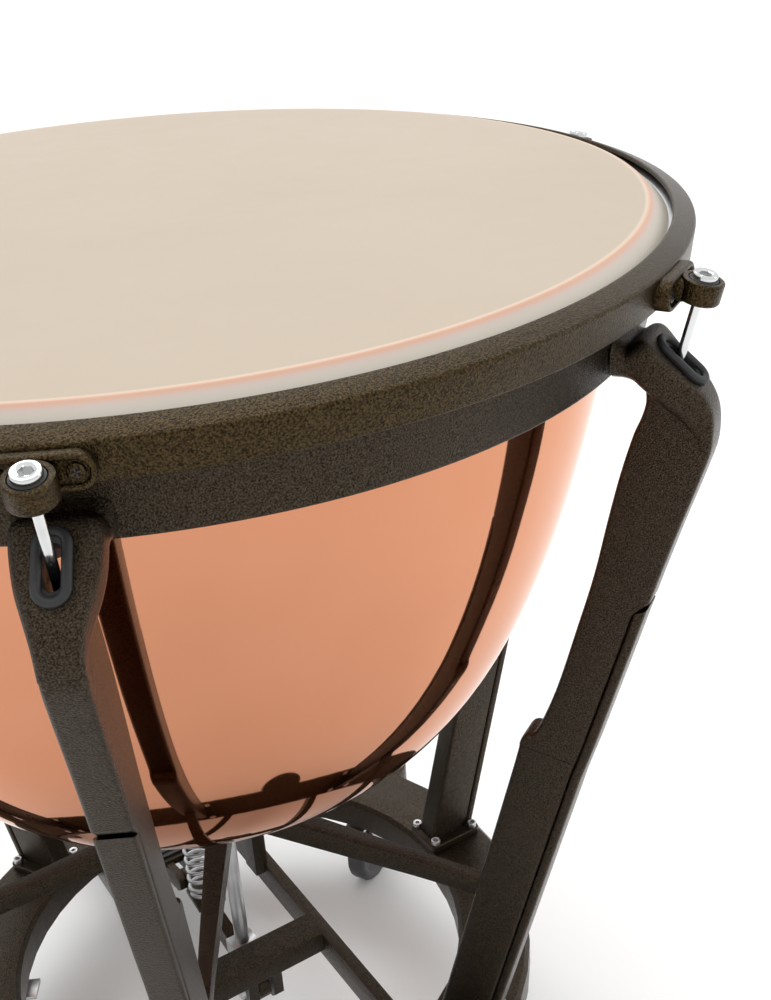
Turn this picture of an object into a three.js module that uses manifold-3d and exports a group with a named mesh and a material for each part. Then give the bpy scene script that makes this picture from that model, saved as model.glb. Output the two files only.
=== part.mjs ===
// Pedal timpani, 29 inch: a copper bowl hung from a ring on six struts, a plastic head drawn down by six
// tension rods, and a rocking pedal in a castered base. Millimetres, +Z up, floor at z = 0, drum axis on Z.
// The audience side is +Y and the player's pedal side is -Y. Struts stand at 0, 60, ... 300 degrees from +X.
import * as THREE from 'three';
import { mergeVertices } from 'three/addons/utils/BufferGeometryUtils.js';
import Module from 'manifold-3d';

const wasm = await Module();
wasm.setup();

// ---- Driving dimensions ------------------------------------------------------------------------------
const COUNT = 6;               // struts, lugs and tension rods
const ROUND = 48;              // facets of the large rings
const GAP = 0.3;               // air between touching pieces

const HOOP_TOP = 845;          // plane of the counterhoop's flange above the floor
const HOOP_CROWN = 4;          // rise of its inner edge above that plane
const HOOP_OUTER_R = 398;
const HOOP_CROWN_R = 400.6;    // where the crown turns over into the side
const HOOP_INNER_R = 385;
const HOOP_HEIGHT = 25;
const HOOP_FLANGE = 4;         // thickness of the hoop's top flange
const HOOP_SKIRT = 5.5;        // thickness of the hoop's side wall

const BEARING_R = 368.3;       // 29 inches across the bearing edge
const BEARING_RISE = 6.1;      // bearing edge above the hoop's top face
const FILM = 1;                // thickness of the head
const COLLAR_R = 380.3;        // where the head's collar meets the flesh hoop

const BOWL_R = 353.2;          // outer radius of the bowl wall below its lip
const BOWL_TOP = -20;          // where the lip ends, below the hoop's top face
const BOWL_DEPTH = 440;
const BOWL_FALL = 1.25;        // how early the wall starts to draw in
const BOWL_FULLNESS = 3.93;    // how square the bowl's bottom is
const BOWL_WALL = 1.5;
const VENT_R = 20;             // hole in the bottom of the bowl

const RING_OUTER_R = 371;      // suspension ring that the bowl's lip hangs on
const RING_INNER_R = 358.4;
const RING_BOTTOM = -70.5;

const ROD_R = 3;
const ROD_TOP_R = 421;         // distance of the screw head from the drum axis
const ROD_TOP = -5.6;          // height of the screw head, from the hoop's top face
const ROD_SLOPE = 0.24;        // inward lean of the rod, going down
const ROD_LENGTH = 572;
const HEAD_R = 8;
const BOSS_R = 13;
const LUG_PLATE_R = 408;       // outer face of the lug's plate
const LUG_PLATE_Z = -14.5;     // middle of the plate, from the hoop's top face

const STRUT_WALL = 5;
const STRUT_SIDE = 4;
const STRUT_HALF = 12;         // half width of the strut
const STRUT_FOOT = 138.3;      // lower end of the strut above the floor
const COVER_THICK = 8;
const COVER_TOP = -245;
const COVER_RISE = 0.6;        // slope of the cover's top end

const FRAME_BOTTOM = 106;
const FRAME_TOP = 138;
const FRAME_INNER_R = 212;
const FRAME_OUTER_R = 280;
const RAIL_X = 70;             // middle of each rail of the base
const RAIL_THICK = 12;

const SPIDER_Z = 299;          // middle of the spider's arms above the floor
const SPIDER_HUB_R = 34;
const SPIDER_ARM_END = 296.5;

const ROCKER_PIVOT = new THREE.Vector2(30, 95);      // y and z
const ROCKER_TILT = THREE.MathUtils.degToRad(8.08);
const ROCKER_LENGTH = 156.5;                         // pivot to the pedal's pin
const ROCKER_ARM = 30.3;                             // pivot to the pull rod's pin
const SPRING_ARM = 116;                              // pivot to the balance spring
const PIN_R = 5;
const PIN_PLAY = 0.7;                                // air round a pin in its slot
const ROCKER_THICK = 12;

const PEDAL_PIVOT = new THREE.Vector2(-262, 88);     // y and z
const PEDAL_TILT = THREE.MathUtils.degToRad(12);     // toe end up, at rest
const PEDAL_ARM = 140;                               // pivot to the rocker's pin
const PEDAL_HALF = 52;
const AXLE_R = 7;

const SPRING_R = 16;
const SPRING_WIRE = 4;
const SPRING_TOP = 204;
const TOWER_TOP = 229;

const CASTER_R = 285;          // distance of the caster stems from the drum axis
const CASTER_ANGLES = [90, 210, 330];
const WHEEL_R = 37.5;
const WHEEL_WIDTH = 22;
const TRAIL = 28;

// ---- Finishes ----------------------------------------------------------------------------------------
const finish = (color, roughness, metalness) => new THREE.MeshStandardMaterial({ color, roughness, metalness });
const BRONZE = finish(0x6f6856, 0.55, 0.3);
const GRAPHITE = finish(0x423b34, 0.6, 0.2);
const COPPER = finish(0xe2a07c, 0.12, 1);
const CHROME = finish(0xd8d8da, 0.12, 1);
const STEEL = finish(0x9c9c9e, 0.35, 1);
const FILM_IVORY = finish(0xddd3c4, 0.45, 0);
const RUBBER = finish(0x18181a, 0.7, 0);
const TYRE = finish(0x3a3a3c, 0.75, 0);

// ---- Mesh helpers ------------------------------------------------------------------------------------
const rad = THREE.MathUtils.degToRad;
const drum = new THREE.Group();

// Merges shared corners, drops slivers and turns the faces outwards.
function closed(geometry) {
  const bare = new THREE.BufferGeometry();
  bare.setAttribute('position', geometry.attributes.position);
  bare.setIndex(geometry.index);
  const merged = mergeVertices(bare, 1e-4);
  const position = merged.attributes.position;
  const index = merged.index.array;
  const kept = [];
  let volume = 0;
  const [a, b, c] = [new THREE.Vector3(), new THREE.Vector3(), new THREE.Vector3()];
  for (let i = 0; i < index.length; i += 3) {
    const [p, q, r] = [index[i], index[i + 1], index[i + 2]];
    if (p === q || q === r || r === p) continue;
    kept.push(p, q, r);
    a.fromBufferAttribute(position, p);
    b.fromBufferAttribute(position, q);
    c.fromBufferAttribute(position, r);
    volume += a.dot(b.cross(c));
  }
  if (volume < 0) kept.reverse();
  merged.setIndex(kept);
  return merged;
}

function toSolid(geometry) {
  const mesh = closed(geometry);
  return new wasm.Manifold(new wasm.Mesh({
    numProp: 3,
    vertProperties: new Float32Array(mesh.attributes.position.array),
    triVerts: new Uint32Array(mesh.index.array),
  }));
}

function toGeometry(solid) {
  const mesh = solid.getMesh();
  const geometry = new THREE.BufferGeometry();
  geometry.setAttribute('position', new THREE.BufferAttribute(new Float32Array(mesh.vertProperties), 3));
  geometry.setIndex(Array.from(mesh.triVerts));
  return geometry;
}

// Joins the pieces, then cuts the tools out of them.
function build(pieces, tools = []) {
  let solid = pieces.map(toSolid).reduce((sum, next) => sum.add(next));
  for (const tool of tools) solid = solid.subtract(toSolid(tool));
  return toGeometry(solid);
}

function part(name, geometry, material, angle = 0) {
  const mesh = new THREE.Mesh(closed(geometry), material);
  mesh.name = name;
  mesh.rotation.z = rad(angle);
  drum.add(mesh);
  return mesh;
}

// A body of revolution about Z, from a profile of [radius, z] points that closes on itself or on the axis.
function revolve(profile, segments = ROUND) {
  const points = profile.map(([r, z]) => new THREE.Vector2(r, z));
  return new THREE.LatheGeometry(points, segments).rotateX(Math.PI / 2);
}

function revolveClosed(profile, segments = ROUND) {
  return revolve([...profile, profile[0]], segments);
}

function disc(radius, bottom, top, segments = 24) {
  return revolve([[0, bottom], [radius, bottom], [radius, top], [0, top]], segments);
}

function box(x0, x1, y0, y1, z0, z1) {
  const geometry = new THREE.BoxGeometry(x1 - x0, y1 - y0, z1 - z0);
  return geometry.translate((x0 + x1) / 2, (y0 + y1) / 2, (z0 + z1) / 2);
}

// A pin along X, centred on x = 0.
function crossPin(radius, halfLength, y, z, segments = 16) {
  return disc(radius, -halfLength, halfLength, segments).rotateY(Math.PI / 2).translate(0, y, z);
}

// An outline of [y, z] points drawn out along X.
function sideplate(outline, x0, x1) {
  const shape = new THREE.Shape(outline.map(([y, z]) => new THREE.Vector2(y, z)));
  const geometry = new THREE.ExtrudeGeometry(shape, { depth: x1 - x0, bevelEnabled: false });
  return geometry.rotateX(Math.PI / 2).rotateZ(Math.PI / 2).translate(x0, 0, 0);
}

function stadium(halfLength, halfWidth, depth, segments = 4) {
  const straight = halfLength - halfWidth;
  const shape = new THREE.Shape();
  shape.absarc(straight, 0, halfWidth, -Math.PI / 2, Math.PI / 2);
  shape.absarc(-straight, 0, halfWidth, Math.PI / 2, Math.PI * 1.5);
  return new THREE.ExtrudeGeometry(shape, { depth, bevelEnabled: false, curveSegments: segments });
}

// Skins a row of like sections, each a ring of points, and closes both ends.
function loft(sections) {
  const size = sections[0].length;
  const positions = sections.flat().flatMap((p) => [p.x, p.y, p.z]);
  const index = [];
  for (let s = 0; s + 1 < sections.length; s += 1) {
    for (let k = 0; k < size; k += 1) {
      const [a, b] = [s * size + k, s * size + (k + 1) % size];
      index.push(a, b, b + size, a, b + size, a + size);
    }
  }
  const last = (sections.length - 1) * size;
  for (let k = 1; k + 1 < size; k += 1) {
    index.push(0, k + 1, k);
    index.push(last, last + k, last + k + 1);
  }
  const geometry = new THREE.BufferGeometry();
  geometry.setAttribute('position', new THREE.Float32BufferAttribute(positions, 3));
  geometry.setIndex(index);
  return geometry;
}

// ---- Head, flesh hoop and counterhoop ----------------------------------------------------------------
function headFilm() {
  const low = HOOP_TOP + BEARING_RISE + GAP;
  const drop = COLLAR_R - BEARING_R - 2;
  return revolve([
    [0, low], [BEARING_R + 2, low], [COLLAR_R, low - drop],
    [COLLAR_R + FILM * 0.7, low - drop + FILM * 0.7], [BEARING_R + 2.2, low + FILM], [0, low + FILM],
  ]);
}

function fleshHoop() {
  const top = HOOP_TOP - HOOP_FLANGE - GAP;
  return revolveClosed([[381.5, top - 11], [391.8, top - 11], [391.8, top], [381.5, top]]);
}

function counterhoop() {
  const inner = HOOP_OUTER_R - HOOP_SKIRT;
  const [top, bottom] = [HOOP_TOP, HOOP_TOP - HOOP_HEIGHT];
  return revolveClosed([
    [inner, bottom], [HOOP_OUTER_R, bottom], [HOOP_CROWN_R, top - 4.5], [HOOP_CROWN_R - 1.6, top - 1],
    [HOOP_INNER_R, top + HOOP_CROWN], [HOOP_INNER_R, top], [inner, top - HOOP_FLANGE],
  ]);
}

part('head_film', headFilm(), FILM_IVORY);
part('flesh_hoop', fleshHoop(), STEEL);
part('counterhoop', counterhoop(), BRONZE);

// ---- Bowl, suspension ring and vent ------------------------------------------------------------------
function bowlWall(steps) {
  const points = [];
  for (let i = 0; i <= steps; i += 1) {
    const fall = 1 - (1 - i / steps) ** 2;
    const radius = BOWL_R * (1 - fall ** BOWL_FALL) ** (1 / BOWL_FULLNESS);
    points.push([Math.max(radius, VENT_R), HOOP_TOP + BOWL_TOP - BOWL_DEPTH * fall]);
  }
  return points;
}

// Each point of an outline moved inwards, square to the outline.
function inset(points, distance) {
  return points.map(([r, z], i) => {
    const [r0, z0] = points[Math.max(i - 1, 0)];
    const [r1, z1] = points[Math.min(i + 1, points.length - 1)];
    const length = Math.hypot(r1 - r0, z1 - z0);
    return [Math.max(r + (z1 - z0) / length * distance, VENT_R), z - (r1 - r0) / length * distance];
  });
}

function bowl() {
  const wall = bowlWall(7);
  const edge = HOOP_TOP + BEARING_RISE;
  const lipOuter = [
    [BEARING_R - 1, edge], [BEARING_R + 1, edge - 0.9], [BEARING_R + 1, edge - 2.4],
    [BEARING_R, edge - 2.9], [357, HOOP_TOP - 8], [354, HOOP_TOP - 13],
  ];
  const lipInner = [[352, HOOP_TOP - 12.4], [355.4, HOOP_TOP - 6.8], [BEARING_R - 3, edge - 3]];
  return revolveClosed([...lipOuter, ...wall, ...inset(wall, BOWL_WALL).reverse(), ...lipInner]);
}

function bowlRing() {
  const bottom = HOOP_TOP + RING_BOTTOM;
  return revolveClosed([
    [RING_OUTER_R, HOOP_TOP - 2], [RING_OUTER_R, bottom + 2], [RING_OUTER_R - 2, bottom],
    [RING_OUTER_R - 10, bottom], [RING_INNER_R, HOOP_TOP - 40],
    [RING_INNER_R, HOOP_TOP - 7.2], [366, HOOP_TOP + 0.4], [369, HOOP_TOP + 0.4],
  ]);
}

function ventRing() {
  const bottom = HOOP_TOP + BOWL_TOP - BOWL_DEPTH - GAP;
  return revolveClosed([
    [VENT_R - 6, bottom - 5], [VENT_R + 16, bottom - 5], [VENT_R + 16, bottom],
    [VENT_R - GAP, bottom], [VENT_R - GAP, bottom + 8], [VENT_R - 6, bottom + 8],
  ], 24);
}

part('bowl', bowl(), COPPER);
part('bowl_ring', bowlRing(), GRAPHITE);
part('vent_ring', ventRing(), STEEL);

// ---- Tension rods and lugs, made on the +X side and turned into place --------------------------------
const ROD_LEAN = Math.atan(ROD_SLOPE);

// Moves a shape made about Z, with z = 0 at the screw head, onto the leaning rod's axis.
function ontoRod(geometry) {
  return geometry.rotateY(ROD_LEAN).translate(ROD_TOP_R, 0, HOOP_TOP + ROD_TOP);
}

function tensionRod() {
  const head = disc(HEAD_R, -2.4, 2.4, 16);
  const shaft = disc(ROD_R, -ROD_LENGTH, -2, 8);
  const socket = disc(3.6, 0, 4, 6);
  return ontoRod(build([head, shaft], [socket]));
}

function lugBracket() {
  const onPlate = (halfLength, halfWidth, depth) => (
    stadium(halfLength, halfWidth, depth).rotateX(Math.PI / 2).rotateZ(Math.PI / 2)
      .translate(LUG_PLATE_R - depth, 0, HOOP_TOP + LUG_PLATE_Z)
  );
  const recess = onPlate(24.8, 6.3, 2.2).translate(0.1, 0, 0);
  const plate = build([onPlate(28.5, 10, 14)], [recess]);
  const neck = box(HOOP_OUTER_R, 414, -10, 10, HOOP_TOP - 22, HOOP_TOP - 8);
  const boss = ontoRod(disc(BOSS_R, -17.2, -2.8, 16));
  const bore = ontoRod(disc(ROD_R + 0.6, -30, 5, 8));
  const hoop = disc(HOOP_CROWN_R + 0.35, HOOP_TOP - 60, HOOP_TOP + 20, ROUND);
  return build([plate, neck, boss], [bore, hoop]);
}

// ---- Struts ------------------------------------------------------------------------------------------
// Each station gives the inner and outer edge as [radius, z below the hoop's top] and the half width.
const FOOT = STRUT_FOOT - HOOP_TOP;
const STRUT_TOP = [
  { inner: [386, -70], outer: [389, -56], half: STRUT_HALF - 1 },
  { inner: [388.2, -76], outer: [402, -64], half: STRUT_HALF - 0.4 },
  { inner: [389.8, -88], outer: [421, -80], half: STRUT_HALF },
  { inner: [387, -100], outer: [429.5, -94], half: STRUT_HALF },
  { inner: [382, -113], outer: [433, -113], half: STRUT_HALF },
];
const STRUT_LEG = [
  { inner: [374, -142], outer: [426, -140], half: STRUT_HALF },
  { inner: [366, -178], outer: [414, -178], half: STRUT_HALF },
  { inner: [357, -222], outer: [400, -225], half: STRUT_HALF },
  { inner: [345, -268], outer: [388, -268], half: STRUT_HALF },
  { inner: [329, -326], outer: [371.5, -326], half: STRUT_HALF },
  { inner: [313.5, -366], outer: [359.5, -368], half: STRUT_HALF },
];
const STRUT_NOSE = [
  { inner: [305, -371], outer: [357.5, -375], half: STRUT_HALF },
  { inner: [300, -381], outer: [354, -386], half: STRUT_HALF },
  { inner: [296, -400], outer: [349, -402], half: STRUT_HALF },
  { inner: [217, FOOT], outer: [268, FOOT], half: STRUT_HALF },
];
const STATIONS = [...STRUT_TOP, ...STRUT_LEG, ...STRUT_NOSE];

// The thick head that takes the strut from the ring, over a crest, to its outer edge.
const HEAD_STATIONS = [
  { bottom: [364, -70.4], top: [364, -45], half: 26.8, corner: 8 },
  { bottom: [379, -71.6], top: [379.5, -48.8], half: 23.2, corner: 7.5 },
  { bottom: [384, -73], top: [386, -45.6], half: 22, corner: 8 },
  { bottom: [388.5, -76], top: [392.5, -46.8], half: 21.4, corner: 7 },
  { bottom: [396, -82], top: [402, -56.6], half: 21, corner: 6 },
  { bottom: [404, -89.5], top: [414, -67.2], half: 19.8, corner: 6 },
  { bottom: [411.5, -97], top: [424.5, -77], half: 17.4, corner: 6 },
  { bottom: [417, -104], top: [430.8, -87], half: 14.8, corner: 5 },
  { bottom: [421.5, -111], top: [433.2, -98], half: 12.9, corner: 4 },
  { bottom: [425, -119], top: [433.2, -110], half: 12.2, corner: 3.5 },
];

// A rectangle with cut corners that spans from one edge point to the other.
function strutSection([r0, z0], [r1, z1], half, corner) {
  const length = Math.hypot(r1 - r0, z1 - z0);
  const [ur, uz] = [(r1 - r0) / length, (z1 - z0) / length];
  const [far, side] = [length - corner, half - corner];
  const square = [[0, -half], [length, -half], [length, half], [0, half]];
  const outline = corner === 0 ? square : [
    [corner, -half], [far, -half], [length, -side], [length, side],
    [far, half], [corner, half], [0, side], [0, -side],
  ];
  return outline.map(([s, y]) => new THREE.Vector3(r0 + ur * s, y, HOOP_TOP + z0 + uz * s));
}

// The strut's edge radius at a height, between its stations.
function edgeAt(side, z) {
  const rows = STATIONS.slice(4).map((station) => station[side]);
  const i = Math.min(Math.max(rows.findIndex((row) => row[1] <= z), 1), rows.length - 1);
  const [[r0, z0], [r1, z1]] = [rows[i - 1], rows[i]];
  return r0 + (r1 - r0) * (z - z0) / (z1 - z0);
}

const COVER_HEIGHTS = [COVER_TOP, -268, -326, -368, -402, FOOT];

// The strip along the strut's outer edge, from depth inner to depth outer and sloping up at its top end.
function coverStrip(inner, outer, half, corner, topGap, footGap) {
  const sections = COVER_HEIGHTS.map((height, i) => {
    const foot = i === COVER_HEIGHTS.length - 1;
    const z = foot ? height + footGap : height - (i === 0 ? topGap : 0);
    const rise = i === 0 ? (inner + outer) * COVER_RISE : 0;
    const from = edgeAt('outer', z) - inner;
    return strutSection([from, z], [edgeAt('outer', z + rise) + outer, z + rise], half, corner);
  });
  return loft(sections);
}

const SEAT_START = new THREE.Vector2(389, -46);
const SEAT_END = new THREE.Vector2(428, -79);
const SEAT_SLOPE = Math.atan2(SEAT_START.y - SEAT_END.y, SEAT_END.x - SEAT_START.x);

// Moves a shape made flat on z = 0 onto the sloping seat of the grommet, long way down the slope.
function ontoSeat(geometry) {
  const middle = SEAT_START.clone().add(SEAT_END).multiplyScalar(0.5);
  return geometry.rotateY(SEAT_SLOPE).translate(middle.x, 0, HOOP_TOP + middle.y);
}

function strutChannel() {
  const inside = STATIONS.slice(3).map(({ inner, outer, half }) => {
    const wall = STRUT_WALL;
    const length = Math.hypot(outer[0] - inner[0], outer[1] - inner[1]);
    const [ur, uz] = [(outer[0] - inner[0]) / length, (outer[1] - inner[1]) / length];
    const lift = inner[1] === FOOT ? 14 : 0;
    return strutSection(
      [inner[0] + ur * wall, inner[1] + uz * wall + lift],
      [outer[0] - ur * wall, outer[1] - uz * wall + lift], half - STRUT_SIDE, 0,
    );
  });
  return loft(inside);
}

function strut() {
  const web = loft(STATIONS.map(({ inner, outer, half }) => strutSection(inner, outer, half, 3.5)));
  const head = loft(HEAD_STATIONS.map((row) => strutSection(row.bottom, row.top, row.half, row.corner)));
  const foot = box(213, 273, -23, 23, STRUT_FOOT, STRUT_FOOT + 8);
  const armSlot = box(230, 276, -6.5, 6.5, SPIDER_Z - 19, SPIDER_Z + 10);
  const ring = disc(RING_OUTER_R + 0.35, HOOP_TOP - 120, HOOP_TOP, ROUND);
  const seat = ontoSeat(stadium(21.4, 10.5, 10));
  const neck = ontoSeat(stadium(15.5, 6.8, 50).translate(0, 0, -36));
  const rodPath = ontoRod(disc(ROD_R + 2.5, -130, -45, 12));
  const recess = coverStrip(COVER_THICK + GAP, 6, STRUT_HALF + 4, 0, 0, 8 + GAP);
  return build([web, head, foot], [ring, strutChannel(), seat, neck, rodPath, recess, armSlot]);
}

function strutCover() {
  return coverStrip(COVER_THICK, 0, STRUT_HALF, 2, 0.6, 8 + 2 * GAP);
}

function rodGrommet() {
  const lip = stadium(21, 10.1, 4, 4).translate(0, 0, GAP);
  const neck = stadium(15.1, 6.4, 8, 3).translate(0, 0, -7.5);
  const slot = stadium(11, 4.3, 40, 3).translate(0, 0, -20);
  return ontoSeat(build([lip, neck], [slot]));
}

for (let k = 0; k < COUNT; k += 1) {
  const [label, angle] = [k + 1, k * 360 / COUNT];
  part(`lug_bracket_${label}`, lugBracket(), BRONZE, angle);
  part(`tension_rod_${label}`, tensionRod(), CHROME, angle);
  part(`strut_${label}`, strut(), GRAPHITE, angle);
  part(`strut_cover_${label}`, strutCover(), GRAPHITE, angle);
  part(`rod_grommet_${label}`, rodGrommet(), RUBBER, angle);
}

// ---- Spider and pull rod -----------------------------------------------------------------------------
function spider() {
  const pieces = [disc(SPIDER_HUB_R, SPIDER_Z - 12, SPIDER_Z + 12, 24)];
  const bores = [];
  for (let k = 0; k < COUNT; k += 1) {
    const turn = k * Math.PI / 3;
    const root = [[20, -11, -11], [20, 11, -11], [20, 11, 11], [20, -11, 11]];
    const waist = [[200, -6, -9], [200, 6, -9], [200, 6, 9], [200, -6, 9]];
    const tip = [[0, -5.5, -8], [0, 5.5, -8], [0, 5.5, 8], [0, -5.5, 8]].map(([, y, z]) => [SPIDER_ARM_END, y, z]);
    const sections = [root, waist, tip].map((section) => (
      section.map(([x, y, z]) => new THREE.Vector3(x, y, SPIDER_Z + z))
    ));
    pieces.push(loft(sections).rotateZ(turn));
    bores.push(ontoRod(disc(ROD_R + 0.6, -ROD_LENGTH - 10, -ROD_LENGTH + 40, 8)).rotateZ(turn));
  }
  return build(pieces, bores);
}

function onRocker(distance) {
  return [
    ROCKER_PIVOT.x - distance * Math.cos(ROCKER_TILT),
    ROCKER_PIVOT.y + distance * Math.sin(ROCKER_TILT),
  ];
}

function pullRod() {
  const [y, z] = onRocker(ROCKER_ARM);
  const gap = ROCKER_THICK / 2 + 1;
  const pieces = [
    disc(7, z + 28, SPIDER_Z - 12 - GAP, 16),
    box(-gap - 6, gap + 6, y - 10, y + 10, z + 18, z + 30),
    box(gap, gap + 6, y - 10, y + 10, z - 11, z + 20),
    box(-gap - 6, -gap, y - 10, y + 10, z - 11, z + 20),
    crossPin(PIN_R, gap + 5, y, z),
  ];
  return build(pieces);
}

part('spider', spider(), GRAPHITE);
part('pull_rod', pullRod(), STEEL);

// ---- Rocker, axle, balance spring and its adjuster ---------------------------------------------------
function rockerLever() {
  const [half, pivotR, tailR] = [ROCKER_THICK / 2, 13, 11];
  const outline = [];
  for (let i = 0; i <= 8; i += 1) {
    const turn = -Math.PI / 2 + i * Math.PI / 8;
    outline.push([pivotR * Math.cos(turn), pivotR * Math.sin(turn)]);
  }
  for (let i = 0; i <= 8; i += 1) {
    const turn = Math.PI / 2 + i * Math.PI / 8;
    outline.push([-ROCKER_LENGTH + tailR * Math.cos(turn), tailR * Math.sin(turn)]);
  }
  const seat = box(-15, 15, -SPRING_ARM - 15, -SPRING_ARM + 15, 9, 14);
  const slot = (along, reach) => (
    stadium(PIN_R + PIN_PLAY + reach, PIN_R + PIN_PLAY, 40, 6).translate(0, 0, -20)
      .rotateY(Math.PI / 2).rotateX(Math.PI / 2).translate(0, -along, 0)
  );
  const lever = build(
    [sideplate(outline, -half, half), seat],
    [crossPin(6.4, 20, 0, 0), slot(ROCKER_ARM, 1), slot(ROCKER_LENGTH - 2, 3.6)],
  );
  return lever.rotateX(-ROCKER_TILT).translate(0, ROCKER_PIVOT.x, ROCKER_PIVOT.y);
}

function springSeatHeight() {
  const [, z] = onRocker(SPRING_ARM);
  return z + 14 / Math.cos(ROCKER_TILT) + 15 * Math.sin(ROCKER_TILT);
}

function balanceSpring() {
  const [y] = onRocker(SPRING_ARM);
  const inner = SPRING_R - SPRING_WIRE;
  const low = springSeatHeight() + 2;
  return revolveClosed([[inner, low], [SPRING_R, low], [SPRING_R, SPRING_TOP], [inner, SPRING_TOP]], 20)
    .translate(0, y, 0);
}

function springAdjuster() {
  const cup = disc(SPRING_R + 2, SPRING_TOP + GAP, SPRING_TOP + 5, 20);
  const screw = disc(5, SPRING_TOP + 4, TOWER_TOP + 4, 16);
  const knob = disc(18, TOWER_TOP + GAP, TOWER_TOP + 16, 20);
  const [y] = onRocker(SPRING_ARM);
  return build([cup, screw, knob]).translate(0, y, 0);
}

part('rocker_lever', rockerLever(), GRAPHITE);
part('rocker_axle', crossPin(6, 22, ROCKER_PIVOT.x, ROCKER_PIVOT.y), STEEL);
part('balance_spring', balanceSpring(), STEEL);
part('spring_adjuster', springAdjuster(), STEEL);

// ---- Base frame --------------------------------------------------------------------------------------
function rail(side) {
  const [y, z] = [PEDAL_PIVOT.x, PEDAL_PIVOT.y];
  const outline = [
    [y - 28, z - 6], [y - 18, z - 16], [y + 18, z - 16], [y + 40, FRAME_BOTTOM],
    [228, FRAME_BOTTOM], [228, FRAME_TOP - 2], [y - 28, FRAME_TOP - 2],
  ];
  return sideplate(outline, side * RAIL_X - RAIL_THICK / 2, side * RAIL_X + RAIL_THICK / 2);
}

function rockerCheek(side) {
  const [y, z] = [ROCKER_PIVOT.x, ROCKER_PIVOT.y];
  const outline = [
    [y - 14, z - 8], [y - 7, z - 15], [y + 7, z - 15], [y + 14, z - 8],
    [y + 14, FRAME_TOP - 8], [y - 14, FRAME_TOP - 8],
  ];
  const from = side > 0 ? 8 : -18;
  return sideplate(outline, from, from + 10);
}

function baseFrame() {
  const [springY] = onRocker(SPRING_ARM);
  const reach = RAIL_X - 2;
  const pieces = [
    revolveClosed([
      [FRAME_INNER_R, FRAME_BOTTOM], [FRAME_OUTER_R, FRAME_BOTTOM], [FRAME_OUTER_R, FRAME_TOP - 4],
      [FRAME_OUTER_R - 4, FRAME_TOP], [FRAME_INNER_R + 4, FRAME_TOP], [FRAME_INNER_R, FRAME_TOP - 4],
    ]),
  ];
  const mouth = box(-RAIL_X + 6, RAIL_X - 6, -300, -150, 50, 200);
  const bores = [
    mouth,
    crossPin(AXLE_R + GAP, 90, PEDAL_PIVOT.x, PEDAL_PIVOT.y),
    crossPin(6 + GAP, 30, ROCKER_PIVOT.x, ROCKER_PIVOT.y),
    disc(5.4, 150, 260, 16).translate(0, springY, 0),
  ];
  for (const angle of CASTER_ANGLES) {
    const [x, y] = [CASTER_R * Math.cos(rad(angle)), CASTER_R * Math.sin(rad(angle))];
    pieces.push(disc(34, FRAME_BOTTOM, FRAME_TOP - 2, 20).translate(x, y, 0));
    bores.push(disc(7.5, FRAME_BOTTOM - 10, FRAME_BOTTOM + 24, 12).translate(x, y, 0));
  }
  pieces.push(rail(1), rail(-1), rockerCheek(1), rockerCheek(-1));
  pieces.push(box(-reach, reach, 14, 46, FRAME_BOTTOM + 8, FRAME_TOP - 2));
  pieces.push(box(-reach, -reach + 14, springY - 12, springY + 12, FRAME_TOP - 12, TOWER_TOP));
  pieces.push(box(reach - 14, reach, springY - 12, springY + 12, FRAME_TOP - 12, TOWER_TOP));
  pieces.push(box(-reach, reach, springY - 14, springY + 14, TOWER_TOP - 14, TOWER_TOP));
  return build(pieces, bores);
}

part('base_frame', baseFrame(), GRAPHITE);

// ---- Pedal -------------------------------------------------------------------------------------------
// Made level about its own axle, then tilted toe up.
function ontoPedal(geometry) {
  return geometry.rotateX(PEDAL_TILT).translate(0, PEDAL_PIVOT.x, PEDAL_PIVOT.y);
}

function pedalCasting() {
  const [heel, toe] = [-128, 118];
  const nose = (side) => {
    const from = side > 0 ? 7 : -15;
    const outline = [
      [0, -9], [PEDAL_ARM, -11], [PEDAL_ARM + 11, -5], [PEDAL_ARM + 11, 5], [PEDAL_ARM + 2, 11],
      [toe, 11], [0, 11],
    ];
    return sideplate(outline, from, from + 8);
  };
  const pieces = [
    box(-PEDAL_HALF, PEDAL_HALF, heel, toe, 7, 14),
    box(-PEDAL_HALF, -PEDAL_HALF + 6, heel + 8, toe - 8, -3, 8),
    box(PEDAL_HALF - 6, PEDAL_HALF, heel + 8, toe - 8, -3, 8),
    box(-PEDAL_HALF + 3, PEDAL_HALF - 3, heel + 8, heel + 14, -3, 8),
    crossPin(13, 57, 0, 0, 16),
    crossPin(PIN_R, 14, PEDAL_ARM, 0),
    nose(1),
    nose(-1),
  ];
  return ontoPedal(build(pieces, [crossPin(AXLE_R + GAP, 70, 0, 0)]));
}

function pedalTread() {
  const [heel, toe] = [-122, 112];
  const pieces = [box(-PEDAL_HALF + 4, PEDAL_HALF - 4, heel, toe, 14 + GAP, 17)];
  for (let y = heel + 10; y < toe - 8; y += 14) {
    pieces.push(box(-PEDAL_HALF + 8, PEDAL_HALF - 8, y, y + 7, 16, 19));
  }
  return ontoPedal(build(pieces));
}

part('pedal_casting', pedalCasting(), GRAPHITE);
part('pedal_tread', pedalTread(), RUBBER);
part('pedal_axle', crossPin(AXLE_R, 82, PEDAL_PIVOT.x, PEDAL_PIVOT.y), STEEL);

// ---- Casters, made with the stem on Z and the wheel trailing towards +X ------------------------------
function ontoCaster(geometry, angle) {
  const [x, y] = [CASTER_R * Math.cos(rad(angle)), CASTER_R * Math.sin(rad(angle))];
  return geometry.rotateZ(rad(angle + 180)).translate(x, y, 0);
}

const FORK_INNER = WHEEL_WIDTH / 2 + 1.5;
const FORK_TOP = FRAME_BOTTOM - 0.6;
const BRAKE_PIVOT = new THREE.Vector2(42, 86);       // x and z in the caster's own frame

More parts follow.
